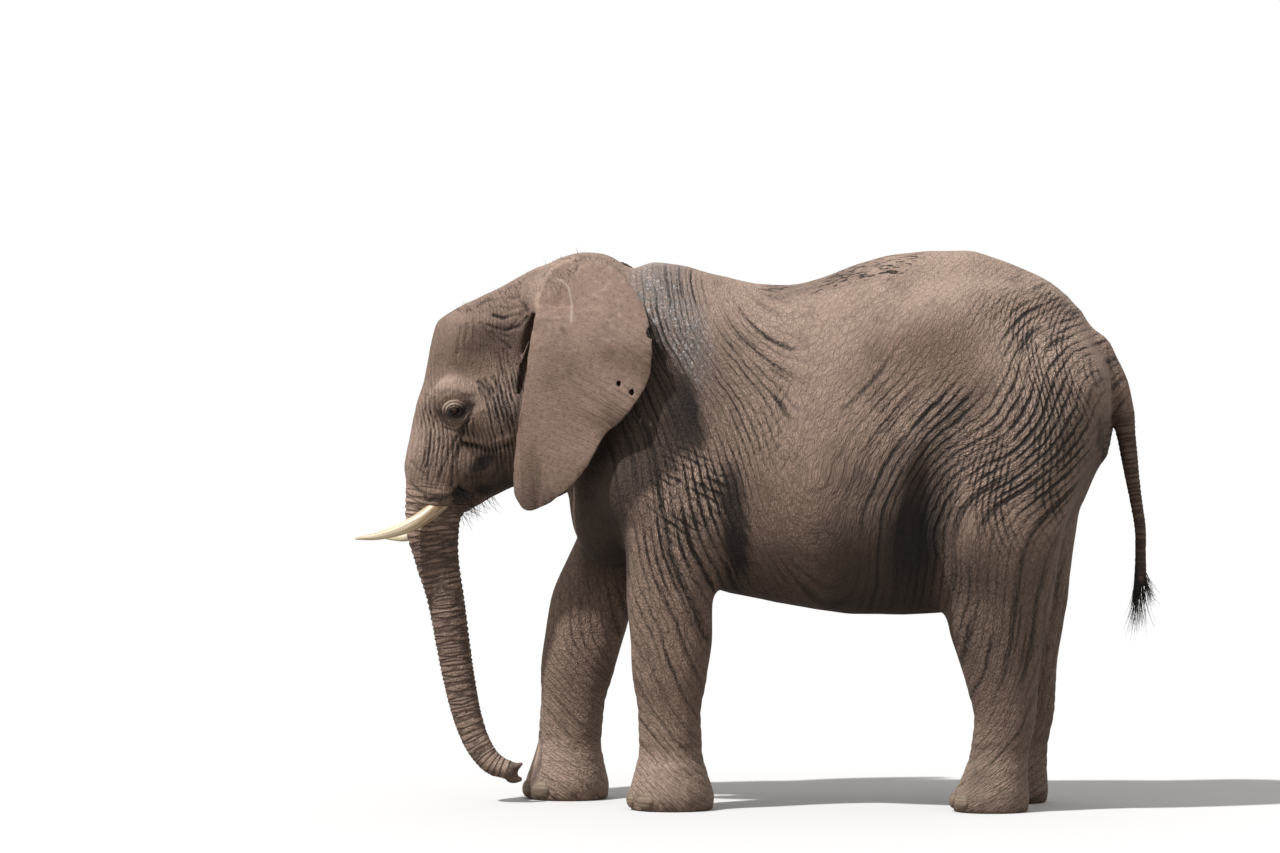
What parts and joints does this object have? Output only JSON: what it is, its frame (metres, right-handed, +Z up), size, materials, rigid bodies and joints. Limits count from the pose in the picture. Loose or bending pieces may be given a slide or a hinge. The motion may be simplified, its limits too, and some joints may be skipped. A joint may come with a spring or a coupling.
{
  "type": "african savanna elephant, standing still model",
  "caption": "Life-size still model of an adult cow African savanna elephant, standing with a forefoot set forward, trunk hanging, ears folded back and slender tusks.",
  "frame": {"origin": "on the floor under the middle of the bounding box", "axes": "-Y is the way the elephant faces, +X is its left side, +Z is up"},
  "size_m": [1.2326, 3.5562, 2.5009],
  "materials": {
    "hide": "dry, dusty, deeply wrinkled grey-brown skin",
    "ivory": "smooth cream ivory, browner at the root",
    "nail": "worn pale horn",
    "eye": "wet dark brown eye",
    "hair": "stiff black bristle"
  },
  "bodies": {
    "root": {"ear_left": "hide", "ear_right": "hide", "eye_left": "eye", "eye_right": "eye", "fore_nail_left_1": "nail", "fore_nail_left_2": "nail", "fore_nail_left_3": "nail", "fore_nail_left_4": "nail", "fore_nail_right_1": "nail", "fore_nail_right_2": "nail", "fore_nail_right_3": "nail", "fore_nail_right_4": "nail", "foreleg_left": "hide", "foreleg_right": "hide", "head": "hide", "hind_nail_left_1": "nail", "hind_nail_left_2": "nail", "hind_nail_left_3": "nail", "hind_nail_right_1": "nail", "hind_nail_right_2": "nail", "hind_nail_right_3": "nail", "hindleg_left": "hide", "hindleg_right": "hide", "jaw": "hide", "neck": "hide", "tail": "hide", "torso": "hide", "trunk_middle": "hide", "trunk_tip": "hide", "trunk_upper": "hide", "tusk_left": "ivory", "tusk_right": "ivory"}
  },
  "joints": []
}
